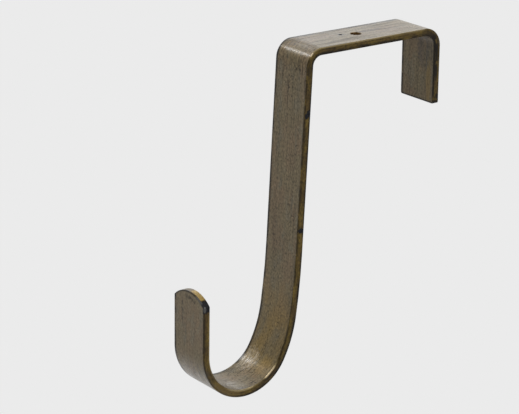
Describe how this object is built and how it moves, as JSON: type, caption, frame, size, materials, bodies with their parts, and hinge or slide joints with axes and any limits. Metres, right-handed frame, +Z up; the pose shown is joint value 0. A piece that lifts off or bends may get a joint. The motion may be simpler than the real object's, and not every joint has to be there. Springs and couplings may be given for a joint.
{
  "type": "wreath hanger",
  "caption": "Over-the-door wreath hanger: a flat metal strip bent into a square saddle over the door's top edge and a deep round hook in front.",
  "frame": {"origin": "middle of the seat that rests on the door's top edge, on the underside of the saddle and halfway between the legs", "axes": "+Z up, -Y out of the door's front face towards the hook, +Y behind the door, X across the strip's width"},
  "size_m": [0.016, 0.093, 0.1098],
  "materials": {
    "strip": "brushed antique brass, satin, with worn golden edges"
  },
  "bodies": {
    "root": {"hanger": "strip"}
  },
  "joints": []
}
